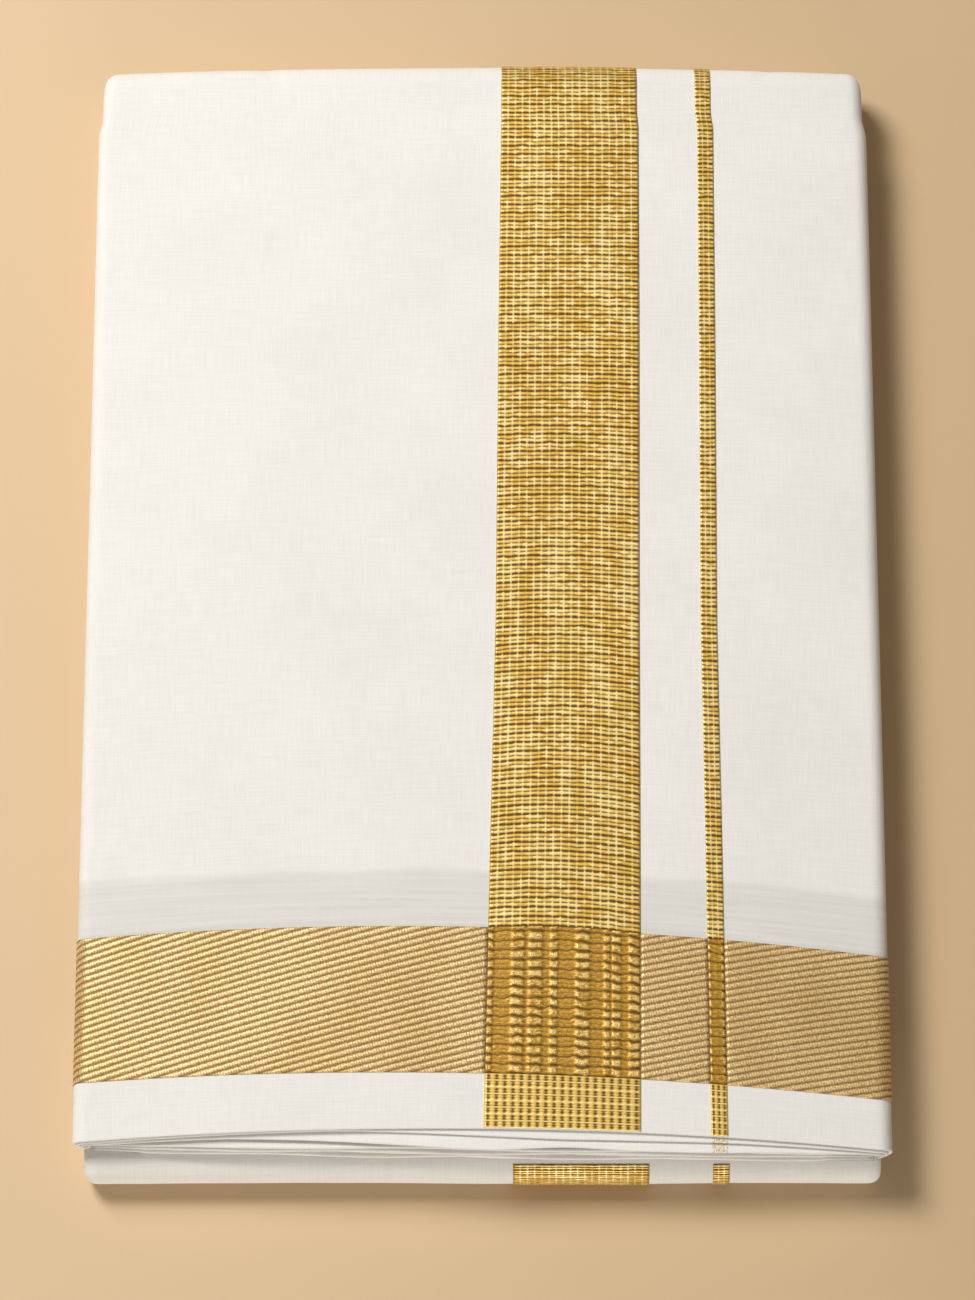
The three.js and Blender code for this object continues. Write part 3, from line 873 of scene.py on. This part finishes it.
def woven_strip(name, table, start, end, columns, rib, relief):
    """A strip of ribbed gold work between two sides of a table, along the wrap's surface. Its
    rows bow away from the open end by a parabola across the strip."""
    ribs = int(round((end - start) / rib))
    row, column = rib_counts(ribs, columns)
    along = start + (end - start) * row / ribs
    left = np.interp(along, table["along"], table["left"])
    right = np.interp(along, table["along"], table["right"])
    share = column / columns
    across = mix(left, right, share) / TOP_FLAT
    bow = np.interp(along, table["along"], table["bow"]) * ease((along - BAND_NEAR) / BOW_OVER)
    along = along + bow * (1 - (2 * share - 1) ** 2)
    outer = -LIFT - GOLD - relief(column, row)
    return cloth_wall(name, along, across, outer, -LIFT, wrap_place, (column, row))


wide_border = woven_strip(
    "wide_border_zari", WIDE_BORDER, BAND_FAR + GAP, STRIPE_END, BORDER_COLUMNS, RIB,
    grid_relief,
)
narrow_stripe = woven_strip(
    "narrow_stripe_zari", NARROW_STRIPE, BAND_FAR + GAP, STRIPE_END, STRIPE_COLUMNS, RIB,
    grid_relief,
)
border_hem = woven_strip(
    "border_hem_zari", WIDE_BORDER, HEM_START, BAND_NEAR - GAP, BORDER_COLUMNS, HEM_RIB,
    grid_relief,
)
stripe_hem = woven_strip(
    "stripe_hem_zari", NARROW_STRIPE, HEM_START, BAND_NEAR - GAP, STRIPE_COLUMNS, HEM_RIB,
    grid_relief,
)

# %% [markdown]
# ### Where the band crosses the border
# Here both systems of gold thread meet, so the weave is dense and deep in colour. A few columns
# float over the rest as stacked bright dashes. A chart holds each floating column's centre and
# width, as shares of the border's width.

# %% Crossings
FLOATS = [
    {"at": 0.020, "wide": 0.040},
    {"at": 0.200, "wide": 0.085},
    {"at": 0.317, "wide": 0.090},
    {"at": 0.437, "wide": 0.050},
    {"at": 0.625, "wide": 0.095},
    {"at": 0.783, "wide": 0.040},
    {"at": 0.845, "wide": 0.060},
    {"at": 0.960, "wide": 0.070},
]
NARROW_FLOATS = [{"at": 0.10, "wide": 0.16}, {"at": 0.90, "wide": 0.16}]
CROSSING_COLUMNS = 38
FLOAT_EDGE = (0.7, 1.2)         # a float fades out between these shares of its half width
GROUND_DEEP = 0.16              # the dense ground lies this far below the floats


def float_mask(share):
    """1 on the floating columns and 0 between them, with smooth sides."""
    inside, outside = FLOAT_EDGE
    total = 0 * share
    for column in FLOATS:
        near = np.abs(share - column["at"]) / (column["wide"] / 2)
        total = total + 1 - ease((near - inside) / (outside - inside))
    return np.clip(total, 0, 1)


def crossing_relief(column, row):
    """Dashes swell between the grooves on the floating columns, and lie low elsewhere."""
    swell = 1 - groove(row / 2, 0.3)
    floating = float_mask(column / CROSSING_COLUMNS)
    ground = 0.10 * groove(row, 0.25) * (1 - floating)
    return GROUND_DEEP * (floating * swell - 1) - ground


def stripe_crossing_relief(column, row):
    """The same dense weave over the narrow stripe, with a shallow groove at each column."""
    return -0.12 + 0.10 * (1 - groove(row / 2, 0.3)) - 0.05 * groove(column, 0.3)


border_crossing = woven_strip(
    "border_crossing_zari", WIDE_BORDER, BAND_NEAR, BAND_FAR, CROSSING_COLUMNS, RIB,
    crossing_relief,
)
stripe_crossing = woven_strip(
    "stripe_crossing_zari", NARROW_STRIPE, BAND_NEAR, BAND_FAR, STRIPE_COLUMNS, RIB,
    stripe_crossing_relief,
)

# %% [markdown]
# ### The end band
# The band is a gold weft twill: each thread starts one warp further on than the last, so the
# floats line up as slanting ribs. Its ribs rise gently to the right. Here the ribs are a wave
# along one slanting coordinate, and the UV map keeps plain millimetres.

# %% End band
TWILL_PITCH = 2.25              # from one rib to the next, along the cloth
TWILL_SLOPE = 0.27              # how much a rib rises for each step to the right
TWILL_DEEP, TWILL_HALF = 0.13, 0.34
BAND_GOLD = GOLD * 0.9
BAND_ROW = 0.45
SIDE_END = 1.92                 # how far round the side fold the band is built


def twill_phase(across_mm, along):
    """Ribs counted along a line that rises to the right."""
    return (along - TWILL_SLOPE * across_mm) / TWILL_PITCH


def side_of(table, edge, shift, along):
    """The place just beside a stripe, as a share of the face."""
    return (np.interp(along, table["along"], table[edge]) + shift) / TOP_FLAT


def band_stretch(name, left, right, count, side=0):
    """A stretch of the band between two places across, which may change along the cloth. The
    side, -1 or 1, adds the columns round that side fold."""
    along = spread([BAND_NEAR, BAND_FAR], [BAND_ROW])[:, None]
    face = [left(along), right(along)]
    across = mix(*face, np.linspace(0, 1, count + 1)[None, :])
    fold = side_columns(SIDE_END, 14)[None, :] + 0 * along
    if side < 0:
        across = np.concatenate([-fold[:, ::-1], across], axis=1)
    if side > 0:
        across = np.concatenate([across, fold], axis=1)
    across_mm = millimetres_across(across, TOP_ARM)
    relief = -TWILL_DEEP * groove(twill_phase(across_mm, along), TWILL_HALF)
    outer = -LIFT - BAND_GOLD - relief
    return cloth_wall(name, along, across, outer, -LIFT, wrap_place, (across_mm, along))


end_band_left = band_stretch(
    "end_band_left_zari",
    left=lambda along: -1 + 0 * along,
    right=lambda along: side_of(WIDE_BORDER, "left", -GAP, along),
    count=116,
    side=-1,
)
end_band_middle = band_stretch(
    "end_band_middle_zari",
    left=lambda along: side_of(WIDE_BORDER, "right", GAP, along),
    right=lambda along: side_of(NARROW_STRIPE, "left", -GAP, along),
    count=22,
)
end_band_right = band_stretch(
    "end_band_right_zari",
    left=lambda along: side_of(NARROW_STRIPE, "right", GAP, along),
    right=lambda along: 1 + 0 * along,
    count=46,
    side=1,
)

# %% [markdown]
# The front turn shows a short run of the same border and stripe, a little to the right of those
# on top, because the lower fold was not laid quite in line.

# %% Stripes on the lower fold
FOLD_BORDER = (10.0, 54.3)
FOLD_STRIPE = (75.0, 80.4)
FOLD_SHOWS = (0.20, 0.86)       # from where to where round the turn, as shares
FOLD_RIBS = 18


def fold_strip(name, sides, columns):
    """A strip of the grid weave round the front turn, clear of the surface it rests on."""
    row, column = rib_counts(FOLD_RIBS, columns)
    round_turn = mix(FOLD_SHOWS[0], FOLD_SHOWS[1], row / FOLD_RIBS)
    along = FOLD_BOTTOM + FOLD_TURN * round_turn
    across = mix(sides[0], sides[1], column / columns) / LOW_FLAT
    outer = -LIFT - GOLD - grid_relief(column, row)
    return cloth_wall(name, along, across, outer, -LIFT, fold_place, (column, row))


fold_border = fold_strip("lower_fold_border_zari", FOLD_BORDER, BORDER_COLUMNS)
fold_stripe = fold_strip("lower_fold_stripe_zari", FOLD_STRIPE, STRIPE_COLUMNS)

# %% [markdown]
# ## White cotton
# Fine muslin is never one flat white. Thick places in the hand-spun thread, called slubs, make
# short pale and dark dashes along both thread directions, and the weave itself is a fine grain.
# Just above the end band the cloth is painted greyer, in uneven streaks across it.

# %% Cotton
COTTON_WHITE = (0.89, 0.876, 0.844, 1)
COTTON_SHADE = (0.805, 0.792, 0.762, 1)
GREY_STRETCH = (BAND_FAR, 87.5)   # along the cloth, where the cotton is painted greyer


def cotton(name, grey_stretch=False, stripe=None):
    """Two sets of stretched noise make the slubs, and fast waves make the weave's grain.
    A stripe, given by its left and right sides, is a broken line of gold thread."""
    cloth = Finish(name)
    across, along = cloth.place()
    warp_slub = cloth.noise(cloth.point(across / 0.55, along / 11.0), detail=3.0)
    weft_slub = cloth.noise(cloth.point(across / 13.0, along / 0.55), detail=3.0)
    cloud = cloth.noise(cloth.point(across / 38.0, along / 38.0), detail=3.0)
    grain = cloth.math("SINE", across * 9.0) * cloth.math("SINE", along * 9.0)
    slub = warp_slub + weft_slub - 1.0
    shade = cloth.smooth(slub * 0.9 + (cloud - 0.5) * 0.7, -0.45, 0.45)
    colour = cloth.blend(shade, COTTON_SHADE, COTTON_WHITE)
    # The stretch just above the end band is painted greyer, in streaks that fade out towards the
    # top.
    if grey_stretch:
        low, high = GREY_STRETCH
        ripple = cloth.noise(cloth.point(across / 60.0, along / 1.6), detail=2.0)
        inside = 1 - cloth.smooth(along + (cloud - 0.5) * 4.0, high - 2.6, high + 1.4)
        inside = inside * cloth.smooth(along, low - 1.0, low)
        grey = (0.70, 0.69, 0.655, 1)
        colour = cloth.blend(inside * (0.1 + ripple * 1.2), colour, grey)
    if stripe:
        middle, half = (stripe[0] + stripe[1]) / 2, (stripe[1] - stripe[0]) / 2
        near = cloth.math("ABSOLUTE", across - middle) / half
        threads = cloth.noise(cloth.point(across / 0.7, along / 0.5), detail=1.0)
        gold = (1 - cloth.smooth(near, 0.85, 1.05)) * cloth.smooth(threads, 0.40, 0.62)
        colour = cloth.blend(gold * 0.8, colour, (0.58, 0.34, 0.06, 1))
    height = slub * 0.7 + grain * 0.22
    normal = cloth.bump(height, 0.00012, 0.8)
    return cloth.wear(colour, 0.86, normal, Sheen_Weight=0.15, Specular_IOR_Level=0.25)


cotton_face = cotton("cotton_face", grey_stretch=True)
cotton_plain = cotton("cotton_plain")
cotton_leaf = cotton("cotton_leaf", stripe=(74.3, 79.7))

# %% [markdown]
# ## Zari
# Zari is a gilt strip wound on a thread, so it gleams along each rib. Its grooves are painted
# nearly brown, a painted shade. The grid weave counts ribs in its UV map. Deep and shallow
# grooves, the pale gilt lines that cross them, and a random tone for each cell are all formulas
# of that count.

# %% Gold finishes
GILT_PALE = (1.0, 0.80, 0.33, 1)
GILT = (0.84, 0.51, 0.070, 1)
GILT_DEEP = (0.42, 0.205, 0.018, 1)
# Painted shade for the grooves between the ribs.
PAINTED_GROOVE_SHADE = (0.145, 0.068, 0.003, 1)
TWILL_SAND = (0.52, 0.31, 0.090, 1)
TWILL_PALE = (0.97, 0.74, 0.38, 1)
# Painted shade for the grooves of the twill.
PAINTED_TWILL_GROOVE_SHADE = (0.22, 0.115, 0.022, 1)


def zari_grid(name, columns):
    """Ribs of gilt, with dark dashes of painted shade in the grooves between pale warp lines."""
    gold = Finish(name)
    column, row = gold.place()
    patch = gold.noise(gold.point(column * 0.30, row * 0.045), detail=3.0)
    bow = row + (gold.noise(gold.point(column * 0.5, row * 0.4), detail=1.0) - 0.5) * 0.5
    deep = gold.line(bow * 0.5, 0.27)
    shallow = gold.line(bow * 0.5 + 0.5, 0.20)
    warp = gold.line(column, 0.24)
    tone = gold.speck(column + 0.5, row)
    fibre = gold.noise(gold.point(column * 2.2, row * 3.2), detail=2.0)
    gaps = deep * (0.90 + patch * 0.4) + shallow * (0.48 + patch * 0.62)
    dark = gaps * (1 - warp * (0.22 + tone * 0.45))
    crest = gold.smooth(fibre * 0.9 + tone * 0.5 + warp * 0.25 - (patch - 0.5), 0.50, 1.05)
    colour = gold.blend(crest, GILT, GILT_PALE)
    # The grooves are painted dark, a painted shade.
    colour = gold.blend(gold.smooth(dark, 0.05, 0.90), colour, PAINTED_GROOVE_SHADE)
    # Both side edges of the strip are painted darker.
    edge = gold.smooth(gold.math("ABSOLUTE", column / columns - 0.5), 0.475, 0.5)
    colour = gold.blend(edge * 0.45, colour, GILT_DEEP)
    normal = gold.bump(fibre * 0.5 - dark, 0.00010, 0.7)
    roughness = 0.38 + dark * 0.3
    return gold.wear(colour, roughness, normal, Metallic=0.35)


def zari_hem(name, columns):
    """The open check between the band and the cloth's end: wide rows with a pale line each."""
    gold = Finish(name)
    column, row = gold.place()
    bright = gold.line(row / 2.5, 0.20)
    fine = gold.line(row, 0.36)
    warp = gold.line(column, 0.24)
    fibre = gold.noise(gold.point(column * 2.6, row * 3.0), detail=2.0)
    dark = gold.line(column + 0.5, 0.46) * (0.35 + fibre * 0.9) + fine * 0.30
    colour = gold.blend(gold.smooth(fibre, 0.40, 0.75), GILT, GILT_PALE)
    # The grooves between the rows and between the warp lines are painted dark, a painted shade.
    colour = gold.blend(gold.smooth(dark, 0.1, 1.0) * (1 - bright), colour, PAINTED_GROOVE_SHADE)
    colour = gold.blend(gold.smooth(bright + warp * 0.30, 0.25, 1.1), colour, GILT_PALE)
    normal = gold.bump(bright + fibre * 0.4 - dark * 0.5, 0.00012, 0.7)
    return gold.wear(colour, 0.42, normal, Metallic=0.3)


def zari_crossing(name, columns, floats):
    """Deep speckled gold, with floating columns of pale stacked dashes."""
    gold = Finish(name)
    column, row = gold.place()
    share = column / columns
    floating = 0.0
    for chart in floats:
        near = gold.math("ABSOLUTE", share - chart["at"]) / (chart["wide"] / 2)
        floating = (1 - gold.smooth(near, *FLOAT_EDGE)) + floating
    fibre = gold.noise(gold.point(column * 1.1, row * 2.6), detail=4.0)
    patch = gold.noise(gold.point(column * 0.22, row * 0.22), detail=2.0)
    bow = row + (gold.noise(gold.point(column * 0.35, row * 0.2), detail=1.0) - 0.5) * 1.2
    speck = gold.noise(gold.point(column * 3.1, row * 3.3), detail=2.0)
    gap = gold.line(bow * 0.5, 0.36)
    fine = gold.line(bow, 0.36)
    ground = gold.smooth(fibre * 0.6 + speck * 0.6, 0.48, 0.86)
    colour = gold.blend(ground, GILT_DEEP, GILT)
    floating = floating * gold.smooth(patch + fibre * 0.7, 0.45, 1.0)
    dash = gold.smooth(floating * (1 - gap) * (0.2 + speck * 1.0), 0.18, 1.1)
    colour = gold.blend(dash * 0.85, colour, GILT_PALE)
    dark = gap * (0.30 + floating * 0.55) + fine * (1 - dash) * (0.2 + speck * 0.7)
    # The grooves between the rows are painted dark, a painted shade.
    colour = gold.blend(gold.smooth(dark, 0.15, 1.0), colour, PAINTED_GROOVE_SHADE)
    normal = gold.bump(dash * 0.8 + fibre * 0.7 - gap, 0.00014, 0.8)
    return gold.wear(colour, 0.42, normal, Metallic=0.4)


def zari_twill(name):
    """Slanting ribs of pale sandy gold, each a row of fine wound beads, with painted shade in the
    grooves between them.
    """
    gold = Finish(name)
    across, along = gold.place()
    phase = (along - across * TWILL_SLOPE) / TWILL_PITCH
    fray = gold.noise(gold.point(across / 0.8, along / 0.8), detail=1.0)
    rib = gold.line(phase + (fray - 0.5) * 0.30, 0.36)
    bead = gold.line(across / 0.85 + phase * 0.5, 0.5)
    fibre = gold.noise(gold.point(across / 0.7, phase * 4.0), detail=3.0)
    cloud = gold.noise(gold.point(across / 26.0, along / 60.0), detail=1.0)
    sand = gold.blend(gold.smooth(fibre + bead * 0.16, 0.40, 0.72), TWILL_SAND, TWILL_PALE)
    sand = gold.blend(gold.smooth(cloud, 0.35, 0.7) * 0.25, sand, GILT_DEEP)
    # The twill's grooves are painted dark, a painted shade.
    colour = gold.blend(rib * 0.9, sand, PAINTED_TWILL_GROOVE_SHADE)
    normal = gold.bump(fibre * 0.4 + bead * 0.25 - rib, 0.00012, 0.8)
    return gold.wear(colour, 0.42 + rib * 0.2, normal, Metallic=0.3)


grid_gold = zari_grid("zari_grid_wide", BORDER_COLUMNS)
grid_gold_narrow = zari_grid("zari_grid_narrow", STRIPE_COLUMNS)
hem_gold = zari_hem("zari_hem_wide", BORDER_COLUMNS)
hem_gold_narrow = zari_hem("zari_hem_narrow", STRIPE_COLUMNS)
crossing_gold = zari_crossing("zari_crossing_wide", CROSSING_COLUMNS, FLOATS)
crossing_gold_narrow = zari_crossing("zari_crossing_narrow", STRIPE_COLUMNS, NARROW_FLOATS)
twill_gold = zari_twill("zari_twill")

# %% [markdown]
# ## Putting it together
# Each new piece takes its material, rides on the packet's one body, and stands for its node of the
# measured model, whose own mesh is hidden.

# %% Dress and ride
BORDER_CUT = (0.051, 0.340)
PIECES = [
    {"piece": outer_wrap, "finish": cotton_face, "node": "outer_wrap", "slot": "cotton",
     "flat": (0.320, WRAP_LENGTH * MM)},
    {"piece": second_leaf, "finish": cotton_leaf, "node": "second_leaf", "slot": "cotton",
     "flat": (0.282, 0.356)},
    {"piece": third_leaf, "finish": cotton_leaf, "node": "third_leaf", "slot": "cotton",
     "flat": (0.278, 0.360)},
    {"piece": lower_fold, "finish": cotton_plain, "node": "lower_fold", "slot": "cotton",
     "flat": (0.305, FOLD_LENGTH * MM)},
    {"piece": inner_layers, "finish": cotton_plain, "node": "hidden_layers",
     "slot": "inner_cotton", "flat": (0.28, 0.42)},
    {"piece": wide_border, "finish": grid_gold, "node": "wide_border", "slot": "zari_grid",
     "flat": BORDER_CUT},
    {"piece": narrow_stripe, "finish": grid_gold_narrow, "node": "narrow_stripe",
     "slot": "zari_grid", "flat": (0.0101, 0.340), "area": 0.0054 * 0.340},
    {"piece": border_hem, "finish": hem_gold, "node": "border_hem", "slot": "zari_grid",
     "flat": (0.051, 0.0185)},
    {"piece": stripe_hem, "finish": hem_gold_narrow, "node": "stripe_hem", "slot": "zari_grid",
     "flat": (0.0101, 0.0185), "area": 0.0054 * 0.0185},
    {"piece": border_crossing, "finish": crossing_gold, "node": "border_crossing",
     "slot": "zari_crossing", "flat": (0.051, 0.0494)},
    {"piece": stripe_crossing, "finish": crossing_gold_narrow, "node": "stripe_crossing",
     "slot": "zari_crossing", "flat": (0.0101, 0.0494), "area": 0.0054 * 0.0494},
    {"piece": end_band_left, "finish": twill_gold, "node": "end_band_left",
     "slot": "zari_twill", "flat": (0.142, 0.0494)},
    {"piece": end_band_middle, "finish": twill_gold, "node": "end_band_middle",
     "slot": "zari_twill", "flat": (0.0215, 0.0494)},
    {"piece": end_band_right, "finish": twill_gold, "node": "end_band_right",
     "slot": "zari_twill", "flat": (0.062, 0.0494)},
    {"piece": fold_border, "finish": grid_gold, "node": "lower_fold_border",
     "slot": "zari_grid", "flat": (0.0443, 0.016)},
    {"piece": fold_stripe, "finish": grid_gold_narrow, "node": "lower_fold_stripe",
     "slot": "zari_grid", "flat": (0.0101, 0.016), "area": 0.0054 * 0.016},
]

for row in PIECES:
    made = row["piece"]
    made.data.materials.append(row["finish"])
    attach(made, "root")
    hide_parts(row["node"])
print(len(PIECES), "pieces are in place")
